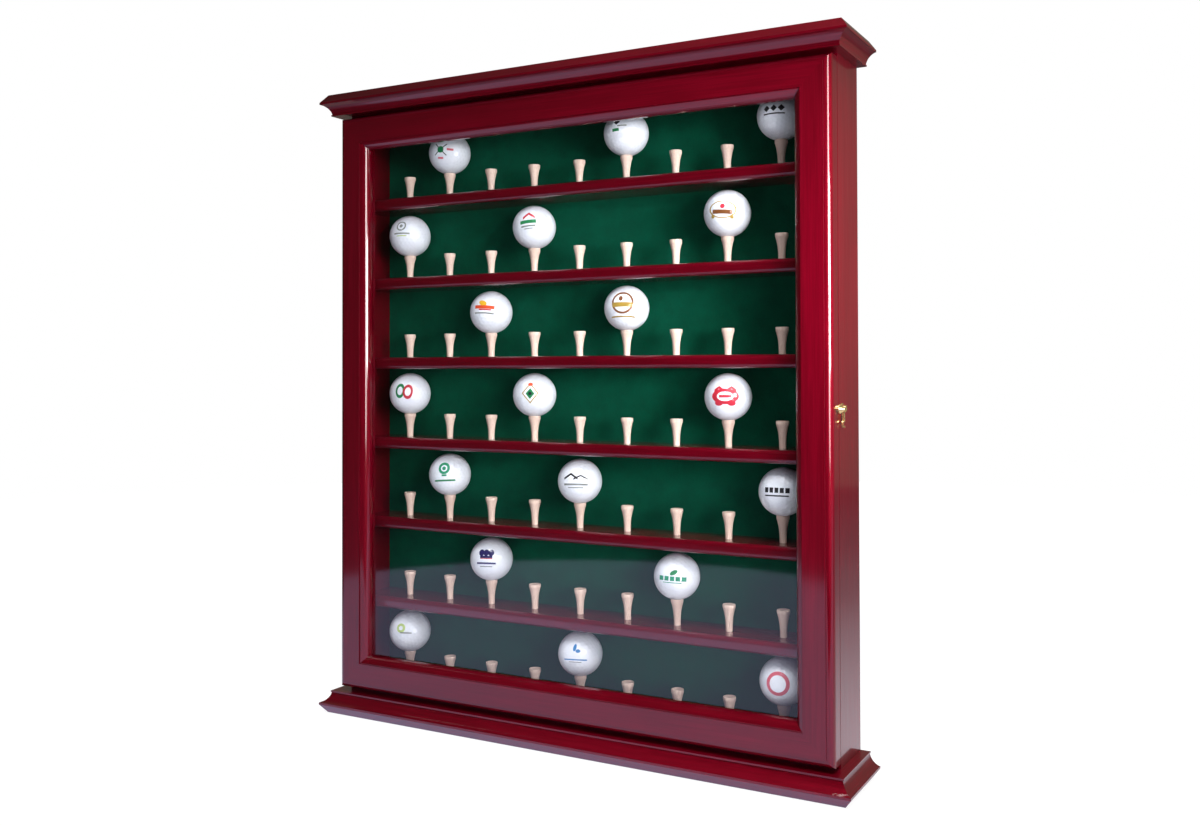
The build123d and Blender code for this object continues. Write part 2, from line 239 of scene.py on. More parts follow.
@dataclass(frozen=True)
class StainedHardboard(Finish):
    """Hardboard back, stained and left dull: a brown-red sheet with a fine pressed fleck."""

    title: ClassVar[str] = "stained_hardboard"
    fleck_mm: float = 1.2
    fleck_depth_mm: float = 0.1

    def shader(self, tree: bpy.types.NodeTree, place: bpy.types.NodeSocket) -> bpy.types.Node:
        """Fleck the stain and the sheet's face.

        Args:
            tree: The material's node tree.
            place: The place on the piece.

        Returns:
            The shader node.
        """
        fleck = add_node(
            tree,
            "ShaderNodeTexNoise",
            {"Vector": place, "Scale": 1000 / self.fleck_mm, "Detail": 4.0, "Roughness": 0.7},
        )
        stain = add_node(
            tree, "ShaderNodeValToRGB", {"Fac": fleck}, stops={0.3: "#2E120E", 0.7: "#4A1F17"}
        )
        pressed = {"Strength": 0.3, "Distance": self.fleck_depth_mm * MM, "Height": fleck}
        rough = add_node(tree, "ShaderNodeMapRange", {"Value": fleck, "To Min": 0.55, "To Max": 0.8})
        return add_node(
            tree,
            "ShaderNodeBsdfPrincipled",
            {
                "Base Color": stain,
                "Roughness": rough,
                "Normal": add_node(tree, "ShaderNodeBump", pressed),
            },
        )


@dataclass(frozen=True)
class GreenFelt(Finish):
    """Pressed wool felt, glued down: matt, with cloudy nap and short crossing fibres.

    Its fibres are about 0.02 mm thick, too fine to show, so they are drawn at 0.7 mm.
    """

    title: ClassVar[str] = "green_wool_felt"
    fibre_mm: float = 0.7
    fibre_depth_mm: float = 0.1
    cloud_mm: float = 18.0
    cloud_share: float = 0.5

    def shader(self, tree: bpy.types.NodeTree, place: bpy.types.NodeSocket) -> bpy.types.Node:
        """Cloud the dye, cross the fibres, and give them a little sheen.

        Args:
            tree: The material's node tree.
            place: The place on the piece.

        Returns:
            The shader node.
        """
        fibres = add_node(
            tree,
            "ShaderNodeTexNoise",
            {"Vector": place, "Scale": 1000 / self.fibre_mm, "Detail": 5.0, "Roughness": 0.75},
        )
        clouds = add_node(
            tree,
            "ShaderNodeTexNoise",
            {"Vector": place, "Scale": 1000 / self.cloud_mm, "Detail": 3.0},
        )
        tone = add_node(
            tree,
            "ShaderNodeMath",
            {0: clouds, 1: self.cloud_share, 2: fibres},
            operation="MULTIPLY_ADD",
        )
        dye = add_node(
            tree,
            "ShaderNodeValToRGB",
            {"Fac": tone},
            stops={0.5: "#003E2C", 0.75: "#004B35", 1.0: "#02553D"},
        )
        nap = {"Strength": 0.25, "Distance": self.fibre_depth_mm * MM, "Height": fibres}
        rough = add_node(tree, "ShaderNodeMapRange", {"Value": fibres, "To Min": 0.9, "To Max": 1.0})
        return add_node(
            tree,
            "ShaderNodeBsdfPrincipled",
            {
                "Base Color": dye,
                "Roughness": rough,
                "Normal": add_node(tree, "ShaderNodeBump", nap),
                "Specular IOR Level": 0.1,
                "Sheen Weight": 0.05,
                "Sheen Roughness": 0.5,
                "Sheen Tint": linear("#3FA884"),
            },
        )


@dataclass(frozen=True)
class TurnedBirch(Finish):
    """Turned white birch under a thin clear dip: pale, with fine upright grain."""

    title: ClassVar[str] = "turned_birch"
    streak_width_mm: float = 0.5
    streak_length_mm: float = 9.0
    streak_depth_mm: float = 0.05

    def shader(self, tree: bpy.types.NodeTree, place: bpy.types.NodeSocket) -> bpy.types.Node:
        """Streak the wood upright, and raise its grain a little.

        Args:
            tree: The material's node tree.
            place: The place on the piece.

        Returns:
            The shader node.
        """
        scale = Grain.ALONG_Z.scale(self.streak_length_mm, self.streak_width_mm)
        streak_place = add_node(tree, "ShaderNodeMapping", {"Vector": place, "Scale": scale})
        streaks = add_node(
            tree,
            "ShaderNodeTexNoise",
            {"Vector": streak_place, "Scale": 1.0, "Detail": 3.0, "Roughness": 0.6},
        )
        wood = add_node(
            tree,
            "ShaderNodeValToRGB",
            {"Fac": streaks},
            stops={0.3: "#D6B8A4", 0.55: "#E3CAB9", 0.75: "#EBD8CA"},
        )
        raised = {"Strength": 0.2, "Distance": self.streak_depth_mm * MM, "Height": streaks}
        rough = add_node(tree, "ShaderNodeMapRange", {"Value": streaks, "To Min": 0.4, "To Max": 0.6})
        return add_node(
            tree,
            "ShaderNodeBsdfPrincipled",
            {
                "Base Color": wood,
                "Roughness": rough,
                "Normal": add_node(tree, "ShaderNodeBump", raised),
                "Specular IOR Level": 0.4,
            },
        )


class Shape(Enum):
    """A plain figure that a pad can print on a ball."""

    DISC = "disc"
    RING = "ring"
    BAR = "bar"
    DIAMOND = "diamond"
    CHEVRON = "chevron"


@dataclass(frozen=True)
class Stroke:
    """One printed figure: its ink, its centre, its half sizes and its turn, in mm and degrees.

    The line is the share of the figure's half size that a ring's or chevron's line takes.
    """

    shape: Shape
    ink: str
    centre: tuple[float, float] = (0.0, 0.0)
    half: tuple[float, float] = (2.0, 2.0)
    turn: float = 0.0
    line: float = 0.2

    def cover(self, tree: bpy.types.NodeTree, place: bpy.types.Node) -> bpy.types.Node:
        """Work out where the ink lies.

        The figure is 2 wide and 2 high in its own coordinates. Sums bring each place to a
        reach that is below 1 on the ink.

        Args:
            tree: The material's node tree.
            place: The node that gives the place on the print, in mm.

        Returns:
            A node that gives 1 on the ink and 0 off it.
        """
        own = add_node(
            tree,
            "ShaderNodeMapping",
            {
                "Vector": place,
                "Location": (*self.centre, 0.0),
                "Rotation": (0.0, 0.0, math.radians(self.turn)),
                "Scale": (*self.half, 1.0),
            },
            vector_type="TEXTURE",
        )
        if self.shape in (Shape.DISC, Shape.RING):
            side = None
            reach = add_node(
                tree, "ShaderNodeVectorMath", {0: own}, operation="LENGTH"
            ).outputs["Value"]
        else:
            axes = add_node(tree, "ShaderNodeSeparateXYZ", {0: own}).outputs
            side = add_node(tree, "ShaderNodeMath", {0: axes[0]}, operation="ABSOLUTE")
            reach = axes[1]
        sums = {
            Shape.DISC: (),
            Shape.RING: (("SUBTRACT", 1.0), ("ABSOLUTE",), ("DIVIDE", self.line)),
            Shape.BAR: (("ABSOLUTE",), ("MAXIMUM", side)),
            Shape.DIAMOND: (("ABSOLUTE",), ("ADD", side)),
            Shape.CHEVRON: (
                ("ADD", side),
                ("SUBTRACT", 0.5),
                ("ABSOLUTE",),
                ("DIVIDE", self.line),
                ("MAXIMUM", side),
            ),
        }[self.shape]
        for operation, *other in (*sums, ("LESS_THAN", 1.0)):
            inputs = dict(enumerate((reach, *other)))
            reach = add_node(tree, "ShaderNodeMath", inputs, operation=operation)
        return reach


@dataclass(frozen=True)
class UrethaneCover(Finish):
    """Cast urethane cover, painted white and clear-coated over a pad print.

    The eye gets a clean, faintly cool white with soft gloss on every dimple's rim.
    """

    title: ClassVar[str] = "urethane"
    ball: str
    strokes: tuple[Stroke, ...]
    mottle_mm: float = 9.0
    light_depth_mm: float = 7.0

    def name(self) -> str:
        """Give the material's name, which says the ball that it covers."""
        return f"{self.title}_{self.ball}"

    def shader(self, tree: bpy.types.NodeTree, place: bpy.types.NodeSocket) -> bpy.types.Node:
        """Mottle the paint, lay each stroke of the print over the last, and coat them.

        Args:
            tree: The material's node tree.
            place: The place on the piece.

        Returns:
            The shader node.
        """
        mottle = add_node(
            tree,
            "ShaderNodeTexNoise",
            {"Vector": place, "Scale": 1000 / self.mottle_mm, "Detail": 3.0},
        )
        colour = add_node(
            tree, "ShaderNodeValToRGB", {"Fac": mottle}, stops={0.3: "#E6EBF2", 0.7: "#EDF1F7"}
        )
        printed = add_node(tree, "ShaderNodeUVMap", uv_map="print")
        for stroke in self.strokes:
            inks = {0: stroke.cover(tree, printed), 6: colour, 7: linear(stroke.ink)}
            colour = add_node(tree, "ShaderNodeMix", inks, data_type="RGBA").outputs[2]
        rough = add_node(
            tree, "ShaderNodeMapRange", {"Value": mottle, "To Min": 0.22, "To Max": 0.38}
        )
        return add_node(
            tree,
            "ShaderNodeBsdfPrincipled",
            {
                "Base Color": colour,
                "Roughness": rough,
                "Subsurface Weight": 0.45,
                "Subsurface Radius": (1.0, 1.0, 1.0),
                "Subsurface Scale": self.light_depth_mm * MM,
                "Coat Weight": 0.4,
                "Coat Roughness": 0.12,
            },
        )


@dataclass(frozen=True)
class FloatGlass(Finish):
    """Clear 3 mm float glass: it lets light straight through and mirrors a little at its front.

    The index is set so that one face mirrors as much as the pane's two do. Float glass is a
    little wavy, in wide bands.
    """

    title: ClassVar[str] = "float_glass"
    index: float = 1.62
    wave_mm: float = 60.0
    wave_depth_mm: float = 0.2

    def shader(self, tree: bpy.types.NodeTree, place: bpy.types.NodeSocket) -> bpy.types.Node:
        """Mirror at the front face, by the angle, and let the rest through.

        Args:
            tree: The material's node tree.
            place: The place on the piece.

        Returns:
            The shader node.
        """
        waves = add_node(
            tree,
            "ShaderNodeTexNoise",
            {"Vector": place, "Scale": 1000 / self.wave_mm, "Detail": 1.0},
        )
        waviness = {"Strength": 0.1, "Distance": self.wave_depth_mm * MM, "Height": waves}
        bump = add_node(tree, "ShaderNodeBump", waviness)
        rough = add_node(
            tree, "ShaderNodeMapRange", {"Value": waves, "To Min": 0.02, "To Max": 0.05}
        )
        mirror = add_node(tree, "ShaderNodeFresnel", {"IOR": self.index, "Normal": bump})
        back = add_node(tree, "ShaderNodeNewGeometry").outputs["Backfacing"]
        front = add_node(tree, "ShaderNodeMath", {0: 1.0, 1: back}, operation="SUBTRACT")
        share = add_node(tree, "ShaderNodeMath", {0: mirror, 1: front}, operation="MULTIPLY")
        clear = add_node(tree, "ShaderNodeBsdfTransparent", {"Color": linear("#FBFBFC")})
        gloss = add_node(
            tree, "ShaderNodeBsdfAnisotropic", {"Color": linear("#FFFFFF"), "Roughness": rough}
        )
        return add_node(tree, "ShaderNodeMixShader", {0: share, 1: clear, 2: gloss})


@dataclass(frozen=True)
class BrightSteel(Finish):
    """Drawn steel wire, cut to brads and hammered home: grey metal, a little dull."""

    title: ClassVar[str] = "bright_steel"
    scratch_mm: float = 0.3

    def shader(self, tree: bpy.types.NodeTree, place: bpy.types.NodeSocket) -> bpy.types.Node:
        """Scratch the metal.

        Args:
            tree: The material's node tree.
            place: The place on the piece.

        Returns:
            The shader node.
        """
        scratches = add_node(
            tree, "ShaderNodeTexNoise", {"Vector": place, "Scale": 1000 / self.scratch_mm}
        )
        steel = add_node(
            tree, "ShaderNodeValToRGB", {"Fac": scratches}, stops={0.3: "#8F8F92", 0.7: "#B5B6BA"}
        )
        rough = add_node(
            tree, "ShaderNodeMapRange", {"Value": scratches, "To Min": 0.3, "To Max": 0.5}
        )
        return add_node(
            tree,
            "ShaderNodeBsdfPrincipled",
            {"Base Color": steel, "Metallic": 1.0, "Roughness": rough},
        )


def dress_node(node: str, material: bpy.types.Material) -> None:
    """Give a carried CAD node its finish, in every material slot.

    Args:
        node: The node's name.
        material: The finish.
    """
    piece = bpy.data.objects[node]
    if not piece.material_slots:
        piece.data.materials.append(material)
    for slot in piece.material_slots:
        slot.material = material
    log.info("dressed %s in %s", node, material.name)


# ---------------------------------------------------------------- making pieces
def start_piece() -> None:
    """Leave edit mode and deselect everything, so that the next primitive is alone."""
    if bpy.context.object and bpy.context.object.mode == "EDIT":
        bpy.ops.object.mode_set(mode="OBJECT")
    bpy.ops.object.select_all(action="DESELECT")


def end_piece(name: str, smooth_below: float = 40.0) -> bpy.types.Object:
    """Close the piece under way: outward normals, smooth shading, place in the mesh.

    Args:
        name: The piece's name.
        smooth_below: Edges flatter than this many degrees are shaded smooth.

    Returns:
        The finished object, at the origin.
    """
    piece = bpy.context.object
    if piece.mode != "EDIT":
        bpy.ops.object.mode_set(mode="EDIT")
    bpy.ops.mesh.select_all(action="SELECT")
    bpy.ops.mesh.normals_make_consistent(inside=False)
    bpy.ops.object.mode_set(mode="OBJECT")
    bpy.ops.object.transform_apply(location=True, rotation=True, scale=True)
    bpy.ops.object.shade_smooth_by_angle(angle=math.radians(smooth_below))
    piece.name = name
    piece.data.name = name
    return piece


def turned(
    name: str, profile: tuple[tuple[float, float], ...], sides: int
) -> bpy.types.Object:
    """Turn a form about the Z axis by extruding a disc ring by ring along its profile.

    Args:
        name: The piece's name.
        profile: Radius and height of each ring, in mm, from the foot.
        sides: How many sides each ring has.

    Returns:
        The turned object, at the origin.
    """
    start_piece()
    radius, height = profile[0]
    bpy.ops.mesh.primitive_circle_add(
        vertices=sides, radius=radius * MM, fill_type="NGON", location=(0, 0, height * MM)
    )
    bpy.ops.object.transform_apply(location=True, rotation=True, scale=True)
    bpy.ops.object.mode_set(mode="EDIT")
    bpy.ops.mesh.select_mode(type="FACE")
    bpy.ops.mesh.select_all(action="SELECT")
    for next_radius, next_height in profile[1:]:
        rise = (next_height - height) * MM
        bpy.ops.mesh.extrude_region_move(TRANSFORM_OT_translate={"value": (0, 0, rise)})
        ratio = next_radius / radius
        bpy.ops.transform.resize(
            value=(ratio, ratio, 1), center_override=(0, 0, next_height * MM)
        )
        radius, height = next_radius, next_height
    return end_piece(name, smooth_below=35.0)


def copied(pattern: bpy.types.Object, name: str, move: Matrix) -> bpy.types.Object:
    """Copy a piece with its own mesh, and put the copy's place in that mesh.

    Args:
        pattern: The piece to copy.
        name: The copy's name.
        move: Where the copy goes.

    Returns:
        The copy, at the origin.
    """
    copy = pattern.copy()
    copy.data = pattern.data.copy()
    copy.data.transform(move)
    copy.name = name
    copy.data.name = name
    bpy.context.scene.collection.objects.link(copy)
    return copy


def joined(pieces: list[bpy.types.Object], name: str) -> bpy.types.Object:
    """Join pieces into one object.

    Args:
        pieces: The pieces, at least one.
        name: The joined object's name.

    Returns:
        The joined object.
    """
    start_piece()
    for piece in pieces:
        piece.select_set(True)
    bpy.context.view_layer.objects.active = pieces[0]
    bpy.ops.object.join()
    whole = bpy.context.object
    whole.name = name
    whole.data.name = name
    return whole


def finish_piece(
    piece: bpy.types.Object, body: str, slot: str, material: bpy.types.Material, *nodes: str
) -> None:
    """Dress a piece, put it on its body and hide the CAD nodes that it replaces.

    Args:
        piece: The piece.
        body: The CAD body that it rides on.
        slot: The record's material slot; not used.
        material: The finish.
        nodes: The CAD nodes that it replaces.
    """
    piece.data.materials.clear()
    piece.data.materials.append(material)
    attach(piece, body)
    if nodes:
        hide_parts(*nodes)
    log.info("made %s on %s: %d faces", piece.name, body, len(piece.data.polygons))


# ---------------------------------------------------------------- case
@dataclass
class Cabinet:
    """The case, its crown and base, its shelves and its lining, all carried from the CAD."""

    along_x: tuple[str, ...] = (
        "base_board",
        "base_moulding_front",
        "crown_board",
        "crown_moulding_front",
        "floor_panel",
        "ceiling_panel",
        *SHELVES,
    )
    along_y: tuple[str, ...] = (
        "base_moulding_left",
        "base_moulding_right",
        "crown_moulding_left",
        "crown_moulding_right",
    )
    along_z: tuple[str, ...] = ("side_panel_left", "side_panel_right")

    def build(self) -> None:
        """Dress every board of the case."""
        for names, grain in (
            (self.along_x, Grain.ALONG_X),
            (self.along_y, Grain.ALONG_Y),
            (self.along_z, Grain.ALONG_Z),
        ):
            for name in names:
                dress_node(name, CherryLacquer(grain).material())
        dress_node("back_panel", StainedHardboard().material())
        dress_node("felt_lining", GreenFelt().material())


@dataclass
class Grid:
    """The places of the tees: nine columns on each deck, read from the CAD's own boxes."""

    columns: int = 9
    deck_nodes: tuple[str, ...] = (*SHELVES, "floor_panel")
    rim_radius: float = 5.8

    def decks(self) -> list[float]:
        """Give the height of each deck from the top row down, in metres."""
        return [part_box(node)[1][2] for node in self.deck_nodes]

    def column_places(self) -> list[float]:
        """Give the X of each column from the left, in metres."""
        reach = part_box("tees")[1][0] - self.rim_radius * MM
        middle = (self.columns - 1) / 2
        return [reach * (column - middle) / middle for column in range(self.columns)]

    def depth(self) -> float:
        """Give the Y of every tee, in metres."""
        low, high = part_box("tees")
        return (low[1] + high[1]) / 2


@dataclass
class Tees:
    """Sixty-three turned tees, glued into the shelves, each with a dished rim.

    Each tee stands turned a step further than the last, in radians.
    """

    grid: Grid
    sides: int = 20
    turn_step: float = 0.7
    profile: tuple[tuple[float, float], ...] = (
        (3.1, 0.02),
        (3.15, 4.0),
        (3.35, 8.0),
        (3.7, 12.0),
        (4.2, 15.0),
        (4.85, 18.0),
        (5.4, 20.0),
        (5.72, 20.8),
        (5.8, 21.3),
        (5.8, 23.5),
        (5.7, 23.85),
        (5.5, 24.0),
        (5.1, 23.75),
        (3.6, 23.1),
        (1.4, 22.7),
    )

    def build(self) -> None:
        """Turn one tee and stand a copy of it on every place, one object for each row."""
        pattern = turned("tee_pattern", self.profile, self.sides)
        for row, deck in enumerate(self.grid.decks(), start=1):
            tees = []
            for column, x in enumerate(self.grid.column_places()):
                number = row * self.grid.columns + column
                turn = Matrix.Rotation(self.turn_step * number, 4, "Z")
                move = Matrix.Translation((x, self.grid.depth(), deck)) @ turn
                tees.append(copied(pattern, f"tee_{row}_{column}", move))
            row_of_tees = joined(tees, f"tees_row_{row}")
            finish_piece(row_of_tees, "case", "natural_wood", TurnedBirch().material(), "tees")
        bpy.data.objects.remove(pattern)


@dataclass(frozen=True)
class PrintedBall:
    """One ball: its row and column from the top left, how it lies, and its print."""

    row: int
    column: int
    yaw: float
    pitch: float
    roll: float
    strokes: tuple[Stroke, ...]


@dataclass
class GolfBalls:
    """Nineteen dimpled balls with plain generic prints.

    Sizes are in mm. The corner cut is in percent of an edge, and 50 would make the flats
    meet. Each ball's dimples lie turned a step further than the last's, in radians.
    """

    grid: Grid
    balls: tuple[PrintedBall, ...]
    radius: float = 21.3
    tee_height: float = 24.0
    seat_clearance: float = 0.12
    dimple_cuts: int = 5
    corner_cut: float = 49.9
    merge_within: float = 0.08
    land: float = 0.32
    dimple_depth: float = 0.17
    lie_axis: tuple[float, float, float] = (0.3, 0.8, 0.5)
    lie_step: float = 1.7

    def pattern(self) -> bpy.types.Object:
        """Make one dimpled ball about the origin.

        A geodesic ball is cut back at every corner, so that each corner becomes a flat
        that touches its neighbours. Each flat is inset and sunk, and one level of
        subdivision rounds it to a dimple.

        Returns:
            The ball, at the origin.
        """
        start_piece()
        bpy.ops.mesh.primitive_ico_sphere_add(subdivisions=1, radius=self.radius * MM)
        ball = bpy.context.object
        bpy.ops.object.mode_set(mode="EDIT")
        bpy.ops.mesh.select_all(action="SELECT")
        bpy.ops.mesh.subdivide(number_cuts=self.dimple_cuts)
        self.round_off(ball)
        bpy.ops.mesh.select_all(action="SELECT")
        bpy.ops.mesh.bevel(offset_type="PERCENT", offset_pct=self.corner_cut, affect="VERTICES")
        bpy.ops.mesh.select_all(action="SELECT")
        bpy.ops.mesh.remove_doubles(threshold=self.merge_within * MM)
        self.round_off(ball)
        bpy.ops.mesh.select_mode(type="FACE")
        bpy.ops.mesh.select_all(action="DESELECT")
        bpy.ops.object.mode_set(mode="OBJECT")
        for face in ball.data.polygons:
            face.select = len(face.vertices) > 4
        bpy.ops.object.mode_set(mode="EDIT")
        bpy.ops.mesh.inset(
            thickness=self.land * MM, depth=-self.dimple_depth * MM, use_individual=True
        )
        bpy.ops.object.mode_set(mode="OBJECT")
        rounding = ball.modifiers.new("rounding", "SUBSURF")
        rounding.levels = rounding.render_levels = 1
        bpy.ops.object.modifier_apply(modifier=rounding.name)
        reach = max(vertex.co.length for vertex in ball.data.vertices)
        ball.data.transform(Matrix.Scale(self.radius * MM / reach, 4))
        return end_piece("ball_pattern", smooth_below=180.0)

    def round_off(self, ball: bpy.types.Object) -> None:
        """Bring every corner of the ball to its radius, and go back to edit mode."""
        bpy.ops.object.mode_set(mode="OBJECT")
        for vertex in ball.data.vertices:
            vertex.co = vertex.co.normalized() * self.radius * MM
        bpy.ops.object.mode_set(mode="EDIT")

    def lay_print(self, ball: bpy.types.Object, centre: Vector, facing: Matrix) -> None:
        """Write the print's own coordinates, in mm, to a UV map named print.

        Args:
            ball: The ball.
            centre: The ball's centre.
            facing: A rotation that takes -Y to the middle of the print.
        """
        right, out, up = facing.col[0], -facing.col[1], facing.col[2]
        far_away = (100.0, 100.0)
        layer = ball.data.uv_layers.new(name="print")
        for loop in ball.data.loops:
            place = (ball.data.vertices[loop.vertex_index].co - centre) / MM
            shown = place.dot(out) > 0
            spot = (place.dot(right), place.dot(up)) if shown else far_away
            layer.data[loop.index].uv = spot

    def build(self) -> None:
        """Stand a copy of the ball on each tee that holds one."""
        pattern = self.pattern()
        decks = self.grid.decks()
        columns = self.grid.column_places()
        seat = math.sqrt(self.radius**2 - self.grid.rim_radius**2) + self.seat_clearance
        for number, ball in enumerate(self.balls):
            rise = decks[ball.row] + (self.tee_height + seat) * MM
            centre = Vector((columns[ball.column], self.grid.depth(), rise))
            lie = Quaternion(self.lie_axis, self.lie_step * number).to_matrix().to_4x4()
            name = f"ball_{ball.row + 1}_{ball.column + 1}"
            copy = copied(pattern, name, Matrix.Translation(centre) @ lie)
            yaw = Matrix.Rotation(math.radians(ball.yaw), 3, "Z")
            pitch = Matrix.Rotation(math.radians(-ball.pitch), 3, "X")
            roll = Matrix.Rotation(math.radians(ball.roll), 3, "Y")
            self.lay_print(copy, centre, yaw @ pitch @ roll)
            cover = UrethaneCover(name, ball.strokes).material()
            finish_piece(copy, "case", "white_urethane", cover, "golf_balls")
        bpy.data.objects.remove(pattern)


def ball_prints() -> tuple[PrintedBall, ...]:
    """Give the nineteen balls with their prints: plain rings, bars, discs and diamonds."""
    white, black, grey, navy = "#F2F3FA", "#1E1E22", "#858B86", "#26235E"
    green, teal, lime, blue = "#17804A", "#18936A", "#B9CF7A", "#2C7DB8"
    red, pink, orange, yellow = "#C0283A", "#D2606E", "#E0562A", "#E9B829"
    gold, brown = "#A88C3C", "#7A4A22"
    disc, ring, bar = Shape.DISC, Shape.RING, Shape.BAR
    diamond, chevron = Shape.DIAMOND, Shape.CHEVRON
    return (
        PrintedBall(0, 1, 10, 2, 4, (
            Stroke(bar, black, half=(8.6, 0.5), turn=42), Stroke(bar, black, half=(8.6, 0.5), turn=-42),
            Stroke(disc, green, half=(3.4, 3.4)),
            Stroke(bar, pink, (9.6, 0.4), (3.0, 1.1)), Stroke(bar, pink, (0, -8.4), (3.0, 0.9)))),
        PrintedBall(0, 5, 2, 6, -3, (
            Stroke(diamond, black, (0, 5.2), (3.4, 2.6)), Stroke(bar, green, (-1.0, -2.2), (3.4, 1.4)),
            Stroke(bar, grey, (5.0, 1.4), (4.4, 0.6)))),
        PrintedBall(0, 8, 2, 7, 0, (
            Stroke(diamond, black, (-6.6, 0.8), (3.0, 3.0)), Stroke(diamond, black, (0, 0.8), (3.0, 3.0)),
            Stroke(diamond, black, (6.6, 0.8), (3.0, 3.0)), Stroke(bar, black, (0, -4.0), (9.6, 0.6)))),
        PrintedBall(1, 0, 13, 12, 0, (
            Stroke(ring, grey, (-1.0, 4.6), (4.6, 4.6), line=0.16),
            Stroke(disc, grey, (-1.0, 4.6), (1.8, 1.8)),
            Stroke(bar, grey, (0, -3.4), (8.6, 0.8)), Stroke(bar, lime, (0, -5.8), (5.6, 0.5)))),
        PrintedBall(1, 3, 14, 13, -6, (
            Stroke(chevron, red, (1.0, 4.8), (6.0, 4.6), line=0.3), Stroke(bar, green, (0, -1.4), (8.0, 1.7)),
            Stroke(bar, grey, (0, -5.6), (7.4, 0.7)), Stroke(bar, grey, (0, -8.0), (4.4, 0.4)))),
        PrintedBall(1, 7, 10, 4, 3, (
            Stroke(ring, gold, (0, 0), (11.6, 7.4), line=0.06), Stroke(bar, brown, (0, -2.2), (9.0, 1.9)),
            Stroke(disc, red, (0, 2.8), (2.2, 2.2)), Stroke(disc, gold, (-8.6, -6.4), (1.6, 1.6)),
            Stroke(disc, gold, (8.6, -6.4), (1.6, 1.6)))),
        PrintedBall(2, 2, 14, 11, 3, (
            Stroke(disc, yellow, (-2.0, 4.6), (4.4, 2.6), turn=-20),
            Stroke(bar, orange, (0, 0.6), (10.2, 1.7)),
            Stroke(bar, red, (1.0, -2.0), (6.4, 0.7)), Stroke(bar, grey, (0, -5.4), (10.0, 0.7)))),
        PrintedBall(2, 5, 16, 11, 0, (
            Stroke(ring, brown, (0, 0.6), (9.4, 9.4), line=0.1), Stroke(bar, gold, (0, -1.4), (9.8, 2.2)),
            Stroke(disc, brown, (-1.6, 4.4), (1.9, 2.4)), Stroke(bar, gold, (0, -12.0), (11.0, 0.6)))),
        PrintedBall(3, 0, 20, 8, 6, (
            Stroke(ring, green, (-4.2, 0), (4.0, 6.0), line=0.26),
            Stroke(ring, red, (4.2, 0), (4.0, 6.0), line=0.26))),
        PrintedBall(3, 3, 20, 6, 0, (
            Stroke(diamond, gold, (0, 0), (8.4, 10.0)), Stroke(diamond, white, (0, 0), (7.0, 8.4)),
            Stroke(diamond, green, (0, -0.4), (4.4, 5.4)), Stroke(disc, black, (0, -0.4), (1.7, 1.7)),
            Stroke(disc, orange, (0, 8.6), (2.4, 1.7)))),
        PrintedBall(3, 7, 15, 3, 0, (
            Stroke(chevron, red, (-5.4, 6.4), (4.4, 3.2), line=0.4),
            Stroke(chevron, red, (5.4, 6.4), (4.4, 3.2), line=0.4),
            Stroke(ring, red, (0, 0), (9.6, 5.6), line=0.24), Stroke(bar, red, (0, 0), (5.4, 1.2)),
            Stroke(disc, red, (-5.6, -6.0), (3.6, 2.4)), Stroke(disc, red, (5.6, -6.0), (3.6, 2.4)))),
        PrintedBall(4, 1, 20, 6, -3, (
            Stroke(ring, teal, (0, 5.8), (4.6, 4.6), line=0.28), Stroke(disc, teal, (0, 5.8), (1.9, 1.9)),
            Stroke(bar, teal, (0, -1.2), (2.6, 0.9)), Stroke(bar, green, (0, -6.4), (10.6, 0.9)))),
        PrintedBall(4, 4, 18, 8, 0, (
            Stroke(chevron, black, (-4.6, 3.6), (6.8, 4.4), line=0.24),
            Stroke(chevron, black, (4.8, 2.8), (6.8, 3.6), line=0.24),
            Stroke(bar, grey, (0, -4.0), (11.4, 0.9)), Stroke(bar, grey, (0, -7.0), (7.4, 0.5)))),
        PrintedBall(4, 8, 4, 5, 0, (
            *(Stroke(bar, black, (x, 1.4), (1.7, 2.2)) for x in (-9.0, -4.4, 0.2, 4.8, 9.4)),
            Stroke(bar, black, (0, -3.4), (10.6, 0.6)))),
        PrintedBall(5, 2, 19, 10, 0, (
            *(Stroke(disc, navy, (x, 5.6), (2.8, 3.2)) for x in (-4.8, 0.0, 4.8)),
            Stroke(bar, navy, (0, 1.6), (6.2, 1.1)), Stroke(bar, red, (0, 0.0), (6.2, 0.4)),
            Stroke(bar, navy, (0, -4.6), (9.6, 0.9)), Stroke(bar, grey, (0, -7.8), (6.2, 0.5)))),
        PrintedBall(5, 6, 13, 5, 2, (
            *(Stroke(bar, teal, (x, -0.6), (2.0, 2.0)) for x in (-10.4, -5.2, 0.0, 5.2, 10.4)),
            Stroke(disc, green, (1.0, 4.8), (3.8, 1.9), turn=30), Stroke(bar, teal, (0, -4.2), (8.6, 0.35)))),
        PrintedBall(6, 0, 19, 14, 0, (
            Stroke(ring, lime, (-3.0, 1.6), (3.4, 3.4), line=0.36),
            Stroke(bar, grey, (2.4, -3.0), (6.0, 0.7)))),
        PrintedBall(6, 4, 16, 12, 0, (
            Stroke(disc, blue, (-0.6, 5.6), (1.6, 3.4), turn=-12), Stroke(disc, blue, (2.6, 2.6), (2.3, 1.6)),
            Stroke(bar, blue, (0, -5.4), (11.0, 0.6)), Stroke(bar, grey, (0, -7.6), (6.0, 0.4)))),
        PrintedBall(6, 8, 5, 6, 0, (Stroke(ring, pink, (0, 0), (8.7, 8.7), line=0.17),)),
    )


